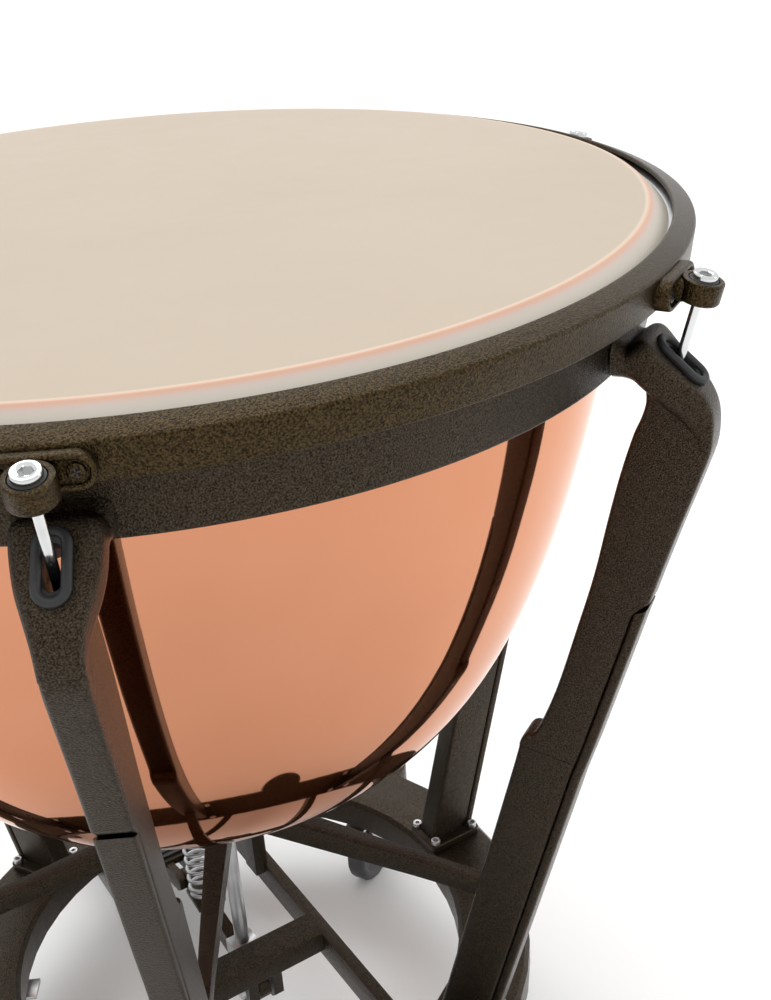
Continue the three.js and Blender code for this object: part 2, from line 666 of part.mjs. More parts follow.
function forkCheek(side) {
  const shape = new THREE.Shape();
  shape.moveTo(-16, FORK_TOP - 5);
  shape.lineTo(-8, FORK_TOP - 18);
  shape.lineTo(TRAIL - 9, WHEEL_R - 6);
  shape.absarc(TRAIL, WHEEL_R, 10, Math.PI * 1.2, Math.PI * 1.9);
  shape.lineTo(TRAIL + 16, 70);
  shape.lineTo(50, 82);
  shape.lineTo(50, 91);
  shape.lineTo(24, FORK_TOP - 5);
  const plate = new THREE.ExtrudeGeometry(shape, { depth: 3, bevelEnabled: false, curveSegments: 5 });
  const from = side > 0 ? FORK_INNER + 3 : -FORK_INNER;
  return plate.rotateX(Math.PI / 2).translate(0, from, 0);
}

function casterFork() {
  const outer = FORK_INNER + 3;
  const axle = disc(4, -outer + 1, outer - 1, 8).rotateX(Math.PI / 2).translate(TRAIL, 0, WHEEL_R);
  return build([
    disc(22, FORK_TOP - 5, FORK_TOP, 16),
    box(-16, 24, -outer, outer, FORK_TOP - 9, FORK_TOP - 4),
    disc(7, FORK_TOP - 2, FRAME_BOTTOM + 22, 12),
    forkCheek(1),
    forkCheek(-1),
    axle,
  ]);
}

// The tyre's facets are set so that one lies flat on the floor.
function casterWheel() {
  const segments = 20;
  const [rim, half] = [WHEEL_R / Math.cos(Math.PI / segments), WHEEL_WIDTH / 2];
  return revolveClosed([
    [4.5, -half], [13, -half], [16, -half + 3], [27, -half + 3], [30, -half], [rim - 3, -half],
    [rim, -half + 3], [rim, half - 3], [rim - 3, half], [30, half], [27, half - 3], [16, half - 3],
    [13, half], [4.5, half],
  ], segments).rotateZ(Math.PI / segments).rotateX(Math.PI / 2).translate(TRAIL, 0, WHEEL_R);
}

function casterBrake() {
  const half = FORK_INNER - 0.8;
  const eye = disc(4.5, -half, half, 10).rotateX(Math.PI / 2).translate(BRAKE_PIVOT.x, 0, BRAKE_PIVOT.y);
  const tab = box(BRAKE_PIVOT.x, 78, -half, half, BRAKE_PIVOT.y - 2, BRAKE_PIVOT.y + 2);
  const shoe = box(50, 58, -half + 2, half - 2, BRAKE_PIVOT.y - 9, BRAKE_PIVOT.y);
  return build([eye, tab, shoe]);
}

CASTER_ANGLES.forEach((angle, i) => {
  part(`caster_fork_${i + 1}`, ontoCaster(casterFork(), angle), STEEL);
  part(`caster_wheel_${i + 1}`, ontoCaster(casterWheel(), angle), TYRE);
  part(`caster_brake_${i + 1}`, ontoCaster(casterBrake(), angle), STEEL);
});

export default drum;
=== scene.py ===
"""Looks of the pedal timpani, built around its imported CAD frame. Metres, +Z up, floor at z = 0.

The audience side is +Y and the pedal side is -Y. Outlines are given in millimetres as (radius, height),
with height measured from HOOP_TOP, the plane that the crown of the counterhoop rises above.
"""

import math

import bmesh
import bpy
import numpy as np
from mathutils import Matrix, Vector


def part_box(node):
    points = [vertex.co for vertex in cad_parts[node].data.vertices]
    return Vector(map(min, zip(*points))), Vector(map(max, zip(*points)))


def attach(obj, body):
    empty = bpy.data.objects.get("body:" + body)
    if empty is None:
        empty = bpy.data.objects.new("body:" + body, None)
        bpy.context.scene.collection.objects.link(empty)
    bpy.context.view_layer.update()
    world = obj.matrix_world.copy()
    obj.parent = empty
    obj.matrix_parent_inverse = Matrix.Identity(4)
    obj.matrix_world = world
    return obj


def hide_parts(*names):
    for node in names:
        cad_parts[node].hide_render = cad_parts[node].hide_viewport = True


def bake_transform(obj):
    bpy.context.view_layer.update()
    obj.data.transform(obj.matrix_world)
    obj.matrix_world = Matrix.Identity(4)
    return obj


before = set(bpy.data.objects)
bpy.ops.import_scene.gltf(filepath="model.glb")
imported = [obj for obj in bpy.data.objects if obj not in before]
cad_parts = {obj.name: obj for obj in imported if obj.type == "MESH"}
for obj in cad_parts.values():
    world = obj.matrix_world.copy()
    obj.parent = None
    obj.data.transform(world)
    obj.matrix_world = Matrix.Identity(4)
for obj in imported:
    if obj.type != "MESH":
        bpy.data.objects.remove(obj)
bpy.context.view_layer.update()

MM = 0.001
COUNT = 6          # struts, and with them lugs, rods, grommets and covers
HOOP_TOP = 0.845   # metres above the floor
HOOP_R = 400.6     # outer radius of the counterhoop's crown, mm
HOOP_BOTTOM = (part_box("counterhoop")[0].z - HOOP_TOP) / MM
SPIDER_Z = sum(corner.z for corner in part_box("spider")) / 2
STRUT_FOOT = (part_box("strut_1")[0].z - HOOP_TOP) / MM


# ---- Materials ---------------------------------------------------------------------------------------
EDGE_INSIDE, EDGE_OUTSIDE = 0.355, 0.385   # radii in metres between which the film changes colour


def new_material(name, **inputs):
    """A node material whose constant values sit on the shader's own sockets."""
    material = bpy.data.materials.new(name)
    material.use_nodes = True
    shader = material.node_tree.nodes["Principled BSDF"]
    for key, value in inputs.items():
        socket = shader.inputs[key.replace("_", " ")]
        socket.default_value = (*value, 1.0) if isinstance(value, tuple) else value
    return material, shader


def add_node(material, kind, **values):
    node = material.node_tree.nodes.new(kind)
    for key, value in values.items():
        if key in node.inputs:
            node.inputs[key].default_value = value
        else:
            setattr(node, key, value)
    return node


def link(material, start, end):
    material.node_tree.links.new(start, end)


def noise(material, scale, detail=3.0, roughness=0.55):
    """A noise texture fixed to the object. scale is in grains a metre."""
    coordinates = add_node(material, "ShaderNodeTexCoord")
    texture = add_node(material, "ShaderNodeTexNoise", Scale=scale, Detail=detail, Roughness=roughness)
    link(material, coordinates.outputs["Object"], texture.inputs["Vector"])
    return texture.outputs["Fac"]


def ramp(material, fac, stops):
    """A colour ramp from (place, colour) stops."""
    node = add_node(material, "ShaderNodeValToRGB")
    elements = node.color_ramp.elements
    while len(elements) < len(stops):
        elements.new(1.0)
    for element, (place, colour) in zip(elements, stops):
        element.position = place
        element.color = (*colour, 1.0)
    link(material, fac, node.inputs["Fac"])
    return node.outputs["Color"]


def bump(material, shader, height, strength, distance):
    node = add_node(material, "ShaderNodeBump", Strength=strength, Distance=distance)
    link(material, height, node.inputs["Height"])
    link(material, node.outputs["Normal"], shader.inputs["Normal"])


def vary_roughness(material, shader, fac, low, high):
    """Roughness between low and high, following a texture."""
    node = add_node(material, "ShaderNodeMapRange")
    node.inputs["To Min"].default_value = low
    node.inputs["To Max"].default_value = high
    link(material, fac, node.inputs["Value"])
    link(material, node.outputs["Result"], shader.inputs["Roughness"])


def textured_coat(name, dark, light, grain, depth, roughness):
    """Wrinkled metallic powder coat: rounded grains whose colour follows their bump, with painted shade in
    the pits and painted highlight on the crowns.
    """
    material, shader = new_material(name, Metallic=0.97, Coat_Weight=0.06, Coat_Roughness=0.25)
    grains = noise(material, grain, 2.5, 0.6)
    # The ramp rides the same noise as the bump: its dark end is painted shade in the pits, its light end
    # painted highlight on the crowns.
    link(material, ramp(material, grains, [(0.36, dark), (0.66, light)]), shader.inputs["Base Color"])
    vary_roughness(material, shader, noise(material, 9.0, 2.0), roughness - 0.05, roughness + 0.06)
    bump(material, shader, grains, 0.8, depth)
    return material


def copper_material():
    """Polished copper under lacquer, with faint clouding and a slight waviness."""
    material, shader = new_material("copper", Metallic=1.0, Specular_Tint=(1.0, 0.86, 0.78))
    clouds = noise(material, 6.0, 3.0)
    tones = [(0.3, (0.575, 0.246, 0.136)), (0.7, (0.605, 0.27, 0.155))]
    link(material, ramp(material, clouds, tones), shader.inputs["Base Color"])
    vary_roughness(material, shader, noise(material, 14.0, 4.0), 0.025, 0.055)
    bump(material, shader, noise(material, 9.0, 1.0), 0.05, 0.0012)
    return material


def film_material():
    """Ivory film, with the copper of the bearing edge showing through it and a thinner, greyer collar. The
    cream band over the edge is a painted highlight, and the copper band and the collar are painted lighter
    against the shade of the bend and of the hoop.

    Its colour follows the distance from the drum's axis, between two radii on either side of the edge.
    """
    material, shader = new_material("film", Specular_IOR_Level=0.22)
    coordinates = add_node(material, "ShaderNodeTexCoord")
    flatten = add_node(material, "ShaderNodeVectorMath", operation="MULTIPLY")
    flatten.inputs[1].default_value = (1.0, 1.0, 0.0)
    length = add_node(material, "ShaderNodeVectorMath", operation="LENGTH")
    link(material, coordinates.outputs["Object"], flatten.inputs[0])
    link(material, flatten.outputs["Vector"], length.inputs[0])
    place = add_node(material, "ShaderNodeMapRange")
    place.inputs["From Min"].default_value = EDGE_INSIDE
    place.inputs["From Max"].default_value = EDGE_OUTSIDE
    link(material, length.outputs["Value"], place.inputs["Value"])
    # The cream band is a painted highlight on the film's bend over the edge; the copper band and the collar
    # are painted lighter to offset the shade they lie in.
    ivory, cream_highlight = (0.452, 0.375, 0.292), (0.58, 0.48, 0.378)
    copper_lightened, fading = (0.60, 0.375, 0.275), (0.56, 0.45, 0.40)
    collar, collar_end = (0.55, 0.50, 0.43), (0.55, 0.51, 0.44)
    edge = ramp(material, place.outputs["Result"], [
        (0.0, ivory), (0.36, ivory), (0.42, cream_highlight), (0.48, copper_lightened), (0.53, copper_lightened),
        (0.59, fading), (0.66, collar), (1.0, collar_end),
    ])
    mottling = [(0.3, (0.96, 0.955, 0.945)), (0.7, (1.0, 1.0, 1.0))]
    shade = ramp(material, noise(material, 5.0, 4.0, 0.6), mottling)
    mix = add_node(material, "ShaderNodeMix", data_type="RGBA", blend_type="MULTIPLY")
    mix.inputs["Factor"].default_value = 1.0
    link(material, edge, mix.inputs["A"])
    link(material, shade, mix.inputs["B"])
    link(material, mix.outputs["Result"], shader.inputs["Base Color"])
    vary_roughness(material, shader, noise(material, 30.0, 3.0), 0.34, 0.46)
    bump(material, shader, noise(material, 900.0, 2.0), 0.12, 0.0002)
    return material


def metal_material(name, colour, low, high, scale, depth):
    """Bare or plated metal with duller patches. low and high are the ends of its roughness."""
    material, shader = new_material(name, Metallic=1.0)
    dull = tuple(c * 0.82 for c in colour)
    patches = ramp(material, noise(material, 40.0), [(0.3, dull), (0.65, colour)])
    link(material, patches, shader.inputs["Base Color"])
    vary_roughness(material, shader, noise(material, scale, 4.0), low, high)
    bump(material, shader, noise(material, scale, 3.0), 0.3, depth)
    return material


def dull_material(name, colour, roughness, scale, depth):
    """Rubber and moulded plastic: dark, with a fine grain and a dusty bloom."""
    material, shader = new_material(name, Specular_IOR_Level=0.4)
    bloom = tuple(c * 1.7 + 0.004 for c in colour)
    dust = ramp(material, noise(material, 60.0, 4.0), [(0.35, colour), (0.75, bloom)])
    link(material, dust, shader.inputs["Base Color"])
    vary_roughness(material, shader, noise(material, 120.0), roughness - 0.07, roughness + 0.08)
    bump(material, shader, noise(material, scale, 2.0), 0.35, depth)
    return material


# Pit colours are painted shade and crown colours painted highlight; the coats' own tone lies between them.
BRONZE_PIT_SHADE, BRONZE_CROWN_HIGHLIGHT = (0.011, 0.006, 0.0015), (0.074, 0.050, 0.021)
GRAPHITE_PIT_SHADE, GRAPHITE_CROWN_HIGHLIGHT = (0.010, 0.006, 0.0030), (0.067, 0.051, 0.034)
bronze = textured_coat("bronze_hammertone", BRONZE_PIT_SHADE, BRONZE_CROWN_HIGHLIGHT, 800.0, 0.0011, 0.29)
graphite = textured_coat("graphite_coat", GRAPHITE_PIT_SHADE, GRAPHITE_CROWN_HIGHLIGHT, 960.0, 0.0010, 0.28)
copper = copper_material()
film = film_material()
chrome = metal_material("bright_chrome", (0.70, 0.71, 0.71), 0.07, 0.14, 90.0, 0.00008)
steel = metal_material("plain_steel", (0.56, 0.56, 0.57), 0.28, 0.42, 300.0, 0.00015)
rubber = dull_material("black_rubber", (0.012, 0.012, 0.013), 0.48, 900.0, 0.00015)
tyre = dull_material("tyre_grey", (0.050, 0.050, 0.052), 0.62, 500.0, 0.0002)


# ---- Mesh helpers ------------------------------------------------------------------------------------
def soften(mesh, limit=32.0):
    """Smooth shading, with edges sharper than limit degrees kept crisp."""
    work = bmesh.new()
    work.from_mesh(mesh)
    for face in work.faces:
        face.smooth = True
    for edge in work.edges:
        edge.smooth = len(edge.link_faces) == 2 and edge.calc_face_angle(0.0) < math.radians(limit)
    work.to_mesh(mesh)
    work.free()


def piece(name, points, faces, material, limit=32.0):
    """An object from points in metres. Its faces are turned outwards."""
    mesh = bpy.data.meshes.new(name)
    mesh.from_pydata([tuple(p) for p in points], [], faces)
    work = bmesh.new()
    work.from_mesh(mesh)
    bmesh.ops.remove_doubles(work, verts=work.verts, dist=1e-6)
    bmesh.ops.recalc_face_normals(work, faces=work.faces)
    work.to_mesh(mesh)
    work.free()
    mesh.materials.append(material)
    soften(mesh, limit)
    obj = bpy.data.objects.new(name, mesh)
    bpy.context.scene.collection.objects.link(obj)
    return obj


def rounded(outline, steps=5):
    """An outline of (x, y, corner radius) points as plain points with its corners drawn as arcs."""
    result = []
    for i, (x, y, radius) in enumerate(outline):
        here = Vector((x, y))
        before, after = Vector(outline[i - 1][:2]), Vector(outline[(i + 1) % len(outline)][:2])
        if radius == 0:
            result.append((x, y))
            continue
        back, forth = (before - here).normalized(), (after - here).normalized()
        half = back.angle(forth) / 2
        cut = radius / math.tan(half)
        centre = here + (back + forth).normalized() * radius / math.sin(half)
        start, end = here + back * cut - centre, here + forth * cut - centre
        swing = start.angle_signed(end)
        for k in range(steps + 1):
            turn = Matrix.Rotation(-swing * k / steps, 2)
            result.append(tuple(centre + turn @ start))
    return result


def lathe(name, profile, material, segments=192, closed=True, place=None):
    """A turned piece. profile holds (radius, height) in mm; radius may be a function of the angle."""
    place = place or Matrix.Translation((0, 0, HOOP_TOP))
    points, faces = [], []
    for k in range(segments):
        angle = 2 * math.pi * k / segments
        for radius, height in profile:
            r = radius(angle) if callable(radius) else radius
            points.append(place @ Vector((r * MM * math.cos(angle), r * MM * math.sin(angle), height * MM)))
    size = len(profile)
    for k in range(segments):
        here, there = k * size, (k + 1) % segments * size
        for i in range(size if closed else size - 1):
            j = (i + 1) % size
            faces.append((here + i, there + i, there + j, here + j))
    if not closed:
        faces.append(tuple(k * size for k in reversed(range(segments))))
        faces.append(tuple(k * size + size - 1 for k in range(segments)))
    return piece(name, points, faces, material)


def skin(name, sections, material, limit=32.0):
    """A lofted solid through rings of points, its two ends closed."""
    size = len(sections[0])
    points = [p for section in sections for p in section]
    faces = []
    for s in range(len(sections) - 1):
        for k in range(size):
            a, b = s * size + k, s * size + (k + 1) % size
            faces.append((a, b, b + size, a + size))
    last = (len(sections) - 1) * size
    faces.append(tuple(reversed(range(size))))
    faces.append(tuple(range(last, last + size)))
    return piece(name, points, faces, material, limit)


def band(name, rings, material, cap=True, place=None, limit=40.0):
    """Rings of points of equal count, one inside the next. cap fills the last ring."""
    place = place or Matrix.Identity(4)
    size = len(rings[0])
    points = [place @ Vector(p) for ring in rings for p in ring]
    faces = []
    for s in range(len(rings) - 1):
        for k in range(size):
            a, b = s * size + k, s * size + (k + 1) % size
            faces.append((a, b, b + size, a + size))
    if cap:
        last = (len(rings) - 1) * size
        faces.append(tuple(range(last, last + size)))
    return piece(name, points, faces, material, limit)


def stadium(half_length, half_width, count=12):
    """A round-ended outline in x and y, long in x, starting at the same place whatever its size."""
    straight = half_length - half_width
    points = []
    for centre, start in ((straight, -90), (-straight, 90)):
        for k in range(count + 1):
            turn = math.radians(start + 180 * k / count)
            points.append((centre + half_width * math.cos(turn), half_width * math.sin(turn)))
    return points


def cut(obj, tool):
    """Takes tool out of obj and removes the tool."""
    modifier = obj.modifiers.new("cut", "BOOLEAN")
    modifier.operation = "DIFFERENCE"
    modifier.solver = "EXACT"
    modifier.object = tool
    apply_modifiers(obj)
    bpy.data.objects.remove(tool, do_unlink=True)
    soften(obj.data, 32.0)


def apply_modifiers(obj):
    """The object's mesh as its modifiers leave it, with none left on it."""
    graph = bpy.context.evaluated_depsgraph_get()
    baked = bpy.data.meshes.new_from_object(obj.evaluated_get(graph))
    obj.modifiers.clear()
    obj.data = baked


def join(name, parts):
    """One object from several, keeping each face's material."""
    materials, work = [], bmesh.new()
    for part in parts:
        mesh = part.data.copy()
        mesh.transform(part.matrix_world)
        offset = []
        for material in part.data.materials:
            if material not in materials:
                materials.append(material)
            offset.append(materials.index(material))
        for polygon in mesh.polygons:
            polygon.material_index = offset[polygon.material_index]
        work.from_mesh(mesh)
        bpy.data.meshes.remove(mesh)
    merged = bpy.data.meshes.new(name)
    work.to_mesh(merged)
    work.free()
    for material in materials:
        merged.materials.append(material)
    for part in parts:
        bpy.data.objects.remove(part, do_unlink=True)
    obj = bpy.data.objects.new(name, merged)
    bpy.context.scene.collection.objects.link(obj)
    return obj


def settle(obj, body, slot, *nodes):
    """Puts a finished piece on its body, in place of the CAD nodes it stands for. slot is not used."""
    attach(obj, body)
    if nodes:
        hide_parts(*nodes)


def raised(outline, height):
    """An outline in mm as points in metres at a height in mm."""
    return [(x * MM, y * MM, height * MM) for x, y in outline]


def six_fold(master, name, body, slot, node=""):
    """Copies of a piece made on the +X side, one for each strut, each with its own mesh in place."""
    for k in range(COUNT):
        copy = bpy.data.objects.new(f"{name}_{k + 1}", master.data.copy())
        copy.data.transform(Matrix.Rotation(k * math.tau / COUNT, 4, "Z"))
        bpy.context.scene.collection.objects.link(copy)
        nodes = [f"{node}_{k + 1}"] if node else []
        settle(copy, body.format(k + 1), slot, *nodes)
    bpy.data.objects.remove(master, do_unlink=True)


# ---- Head, hoops, ring and bowl ----------------------------------------------------------------------
VENT_R = 20.0     # radius of the hole for the vent ring in the bottom of the bowl
BOWL_WALL = 1.4


def make_head():
    """The film runs flat to the bearing edge, bends over it and goes down its collar into the hoop."""
    bend, steps = 2.4, 6
    profile = [(12.0 * k ** 1.45, 5.0 + bend) for k in range(1, 11)]
    for k in range(steps + 1):
        turn = math.radians(90 - 43 * k / steps)
        profile.append((368.6 + bend * math.cos(turn), 5.0 + bend * math.sin(turn)))
    profile += [(372.2, 5.2), (375.0, 2.5), (378.0, -0.4), (381.0, -3.4), (383.0, -5.4)]
    under = [(r - 0.25, z - 0.3) for r, z in reversed(profile)]
    head = lathe("head_film_skin", profile + under, film, 256, closed=False)
    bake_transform(head)
    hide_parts("head_film")


def make_hoops():
    """The counterhoop, a crowned flange over a plain skirt, and the flesh hoop inside it."""
    section = rounded([
        (HOOP_R - 8, HOOP_BOTTOM, 1.0), (HOOP_R - 2.6, HOOP_BOTTOM, 1.6), (HOOP_R, -2.4, 2.8),
        (HOOP_R - 15.6, 4.0, 1.4), (HOOP_R - 15.6, 0.2, 0.8), (HOOP_R - 8, -4, 1.5),
    ])
    shell = lathe("counterhoop_shell", section, bronze, 256)
    settle(shell, "tension_frame", "bronze_hammertone", "counterhoop")
    flesh = rounded([(381.5, -15.3, 2), (391.8, -15.3, 2), (391.8, -4.3, 2), (381.5, -4.3, 2)])
    settle(lathe("flesh_hoop_bar", flesh, steel, 192), "tension_frame", "plain_steel", "flesh_hoop")


def make_ring():
    """The suspension ring, with the shelf that the bowl's flared lip rests on."""
    section = rounded([
        (371, -2, 1.5), (371, -70.5, 2.2), (361, -70.5, 1.0), (358.4, -40, 1), (358.4, -7.2, 0),
        (366, 0.4, 0), (369, 0.4, 1),
    ])
    settle(lathe("bowl_ring_casting", section, graphite, 256), "root", "graphite_coat", "bowl_ring")


def bowl_outline(steps=44):
    """The bowl's outside from below its lip to the vent, fuller than a half ellipse."""
    radius, depth, fall_power, fullness = 353.2, 440.0, 1.25, 3.93
    points = []
    for i in range(steps + 1):
        fall = 1 - (1 - i / steps) ** 2
        r = radius * (1 - fall ** fall_power) ** (1 / fullness)
        points.append((max(r, VENT_R), -20.0 - depth * fall))
    return points


def make_bowl():
    """A thin shell, open at the vent, whose lip rolls over the ring and carries the film."""
    lip = rounded([
        (364.6, 2.4, 0), (367.4, 6.0, 1.2), (369.3, 5.2, 0.6), (369.3, 3.4, 0.4), (357, -8.2, 6),
        (353.4, -14, 0),
    ])
    wall = bowl_outline()
    inner = [
        (max(r - BOWL_WALL, VENT_R), z + BOWL_WALL * min(1.0, 30.0 / max(r, VENT_R)))
        for r, z in reversed(wall)
    ]
    inner += [(352.6, -14.0), (355.6, -7.6)]
    outline = lip + wall + inner
    settle(lathe("bowl_shell", outline, copper, 256), "root", "copper", "bowl")


make_head()
make_hoops()
make_ring()
make_bowl()


# ---- Tension rods and lugs ---------------------------------------------------------------------------
ROD_SLOPE = 0.24
ROD_TOP = Vector((0.421, 0, HOOP_TOP - 5.6 * MM))
ON_ROD = Matrix.Translation(ROD_TOP) @ Matrix.Rotation(math.atan(ROD_SLOPE), 4, "Y")


def hexagon(across):
    """Radius of a hexagon, by angle, from its width across the flats."""
    def radius(angle):
        return across / 2 / math.cos((angle + math.pi / 6) % (math.pi / 3) - math.pi / 6)
    return radius


def make_rod():
    """A socket screw with a long shank, and a black ring under its head, in the lug."""
    socket = hexagon(7.2)
    head = [
        (socket, -2.4), (socket, 0.2), (4.4, 0.4), (6.4, 1.1), (7.2, 1.0), (7.7, 0.5), (7.9, -0.3),
        (7.9, -3.0), (7.5, -3.4), (3.0, -3.45), (3.0, -571.0), (2.2, -572.0),
    ]
    rod = lathe("rod_master", head, chrome, 48, closed=False, place=ON_ROD)
    head_ring_section = rounded([(3.6, -4.5, 0.3), (9.2, -4.5, 0.6), (9.2, -2.6, 0.8), (3.6, -3.5, 0.3)], 2)
    collar = lathe("rod_washer", head_ring_section, rubber, 48, place=ON_ROD)
    master = join("rod_master", [rod, collar])
    six_fold(master, "tension_rod_bar", "rod_{}", "bright_chrome", "tension_rod")


LUG_Z = -14.5      # middle of the lug plate
LUG_FACE = 408.0   # radius of its outer face
LUG_LIFT = 10.6    # thickness of the plate


def wrap_on_hoop(points, lift):
    """Points (along, up) laid round the hoop's outer face, lift mm off it."""
    result = []
    for along, up in points:
        turn = along / HOOP_R
        r = (LUG_FACE - LUG_LIFT + lift) * MM
        result.append((r * math.cos(turn), r * math.sin(turn), HOOP_TOP + (up + LUG_Z) * MM))
    return result


def make_lug():
    """A round-ended plate with a raised rim, and a boss on a neck for the tension rod."""
    top = LUG_LIFT
    steps = [
        (0, 0), (0, top - 1.8), (0.5, top - 0.6), (1.4, top), (2.6, top), (3.3, top - 0.6), (3.7, top - 2.2),
    ]
    rings = [wrap_on_hoop(stadium(28.5 - inward, 10 - inward), lift) for inward, lift in steps]
    plate = band("lug_plate", rings, bronze)
    stations = (
        (401, 11, -22.6, -6.4), (406, 10.4, -22.4, -7.0), (410, 9.8, -22.0, -8.2), (414, 9.8, -21.8, -8.4),
        (418, 10.4, -21.8, -8.8),
    )
    sections = []
    for reach, wide, low, high in stations:
        ring = rounded([(-wide, low, 4), (wide, low, 4), (wide, high, 4), (-wide, high, 4)], 4)
        sections.append([Vector((reach * MM, y * MM, HOOP_TOP + z * MM)) for y, z in ring])
    neck = skin("lug_neck", sections, bronze)
    outline = [
        (3.6, -17.2), (11.0, -17.2), (12.2, -16.8), (12.9, -15.9), (13.0, -15.0), (13.0, -4.2), (12.8, -3.4),
        (12.0, -2.9), (10.4, -2.8), (9.7, -3.0), (9.45, -4.6), (3.6, -4.6),
    ]
    boss = lathe("lug_boss", outline, bronze, 56, place=ON_ROD)
    master = join("lug_master", [plate, neck, boss])
    six_fold(master, "lug_casting", "tension_frame", "bronze_hammertone", "lug_bracket")


def make_lug_screws():
    """Domed cross-head screws, one at each end of every lug plate, their cross not cut but drawn as black
    strips on the dome: painted shade of the recess.
    """
    dome = [(0.6, 3.2), (1.2, 4.0), (2.6, 4.35), (4.0, 4.2), (4.6, 3.9), (4.8, 3.2)]
    bar = [(-2.7, -0.45), (2.7, -0.45), (2.7, 0.45), (-2.7, 0.45)]
    seat = Matrix.Translation(((LUG_FACE - 4.9) * MM, 0, HOOP_TOP + LUG_Z * MM))
    screws = []
    for side in (-1, 1):
        turn = side * 18.6 / HOOP_R
        place = Matrix.Rotation(turn, 4, "Z") @ seat
        place = place @ Matrix.Rotation(math.pi / 2, 4, "Y")
        screws.append(lathe("screw_head", dome, bronze, 28, closed=False, place=place))
        # Painted shade: black strips stand for the cross recess, which is not cut into the dome.
        for turn_more in (0.35, 0.35 + math.pi / 2):
            spin = place @ Matrix.Rotation(turn_more, 4, "Z")
            rings = [[spin @ Vector(point) for point in raised(bar, z)] for z in (4.0, 4.42)]
            screws.append(band("screw_slot_shade", rings, rubber))
    six_fold(join("screw_master", screws), "lug_screws", "tension_frame", "bronze_hammertone")


make_rod()
make_lug()
make_lug_screws()


# ---- Struts ------------------------------------------------------------------------------------------
# The strut's web. Each station: inner edge, outer edge, half width.
STATIONS = [
    ((386.0, -70.0), (389.0, -56.0), 11.0), ((388.2, -76.0), (402.0, -64.0), 11.6),
    ((389.8, -88.0), (421.0, -80.0), 12.0), ((387.0, -100.0), (429.5, -94.0), 12.0),
    ((382.0, -113.0), (433.0, -113.0), 12.0), ((374.0, -142.0), (426.0, -140.0), 12.0),
    ((366.0, -178.0), (414.0, -178.0), 12.0), ((357.0, -222.0), (400.0, -225.0), 12.0),
    ((345.0, -268.0), (388.0, -268.0), 12.0), ((329.0, -326.0), (371.5, -326.0), 12.0),
    ((313.5, -366.0), (359.5, -368.0), 12.0), ((305.0, -371.0), (357.5, -375.0), 12.0),
    ((300.0, -381.0), (354.0, -386.0), 12.0), ((296.0, -400.0), (349.0, -402.0), 12.0),
    ((256.5, (STRUT_FOOT - 402) / 2), (308.5, (STRUT_FOOT - 402) / 2), 12.0),
    ((217.0, STRUT_FOOT), (268.0, STRUT_FOOT), 12.0),
]
# The thick head that takes each strut from its collar on the ring, over a crest, to its outer edge.
# Each row: bottom radius and height, top radius and height, half width, corner radius.
HEAD_ROWS = [
    (371.4, -70.4, 371.4, -45.0, 26.4, 9.0), (374.0, -70.8, 374.0, -46.8, 25.8, 10.0),
    (379.0, -71.6, 379.5, -49.2, 24.4, 10.5), (384.0, -73.0, 386.0, -45.4, 23.8, 9.6),
    (388.5, -76.0, 392.5, -46.8, 23.6, 8.0), (396.0, -82.0, 402.0, -56.6, 22.8, 7.6),
    (404.0, -89.5, 414.0, -67.2, 20.4, 7.4), (411.5, -97.0, 424.5, -77.0, 16.6, 7.0),
    (417.0, -104.0, 430.8, -87.0, 13.8, 6.0), (421.5, -111.0, 433.2, -98.0, 12.5, 4.8),
    (425.0, -119.0, 433.2, -110.0, 12.2, 3.6),
]
COVER_TOP, COVER_THICK, COVER_GAP = -245.0, 8.0, 0.5   # the strip let into the strut's outer edge
# The grommet's seat slopes down and out between these two points.
SEAT_START, SEAT_END = Vector((389, -46)), Vector((428, -79))
SEAT_SLOPE = math.atan2(SEAT_START.y - SEAT_END.y, SEAT_END.x - SEAT_START.x)
SEAT_MIDDLE = (SEAT_START + SEAT_END) / 2
ON_SEAT = Matrix.Translation((SEAT_MIDDLE.x * MM, 0, HOOP_TOP + SEAT_MIDDLE.y * MM))
ON_SEAT = ON_SEAT @ Matrix.Rotation(SEAT_SLOPE, 4, "Y")


def spline(rows, t):
    """Catmull-Rom through rows of numbers, at place t counted in rows."""
    i = min(int(t), len(rows) - 2)
    u = t - i
    p0, p1, p2, p3 = (np.array(rows[min(max(i + k, 0), len(rows) - 1)], float) for k in (-1, 0, 1, 2))
    square, cube = 2 * p0 - 5 * p1 + 4 * p2 - p3, 3 * p1 - p0 - 3 * p2 + p3
    return 0.5 * (2 * p1 + (p2 - p0) * u + square * u ** 2 + cube * u ** 3)


def smooth_rows(rows, steps=4):
    """Rows with steps - 1 more put between each two on a smooth curve."""
    return [spline(rows, k / steps) for k in range((len(rows) - 1) * steps + 1)]


def strut_section(row, corner, wall=0.0, side=0.0):
    """A rounded rectangle from the strut's inner to its outer edge, drawn in by wall and side."""
    r0, z0, r1, z1, half = row[:5]
    length = math.hypot(r1 - r0, z1 - z0)
    ur, uz = (r1 - r0) / length, (z1 - z0) / length
    wide = half - side
    ring = rounded([
        (wall, -wide, corner), (length - wall, -wide, corner),
        (length - wall, wide, corner), (wall, wide, corner),
    ], 4)
    return [Vector(((r0 + ur * s) * MM, y * MM, HOOP_TOP + (z0 + uz * s) * MM)) for s, y in ring]


def outer_edge(height):
    """Radius of the strut's outer edge at a height."""
    rows = [outer for _, outer, _ in STATIONS[4:]]
    return float(np.interp(-height, [-z for _, z in rows], [r for r, _ in rows]))


def trimmed(rows):
    """The strut's rows with the cover's strip taken off their outer edge."""
    result = []
    for r0, z0, r1, z1, half in rows:
        depth = min(max((COVER_TOP + 5.5 - z1) / 6.0, 0.0), 1.0) * (COVER_THICK + COVER_GAP)
        result.append((r0, z0, r1 - depth, z1 - depth * 0.25, half))
    return result


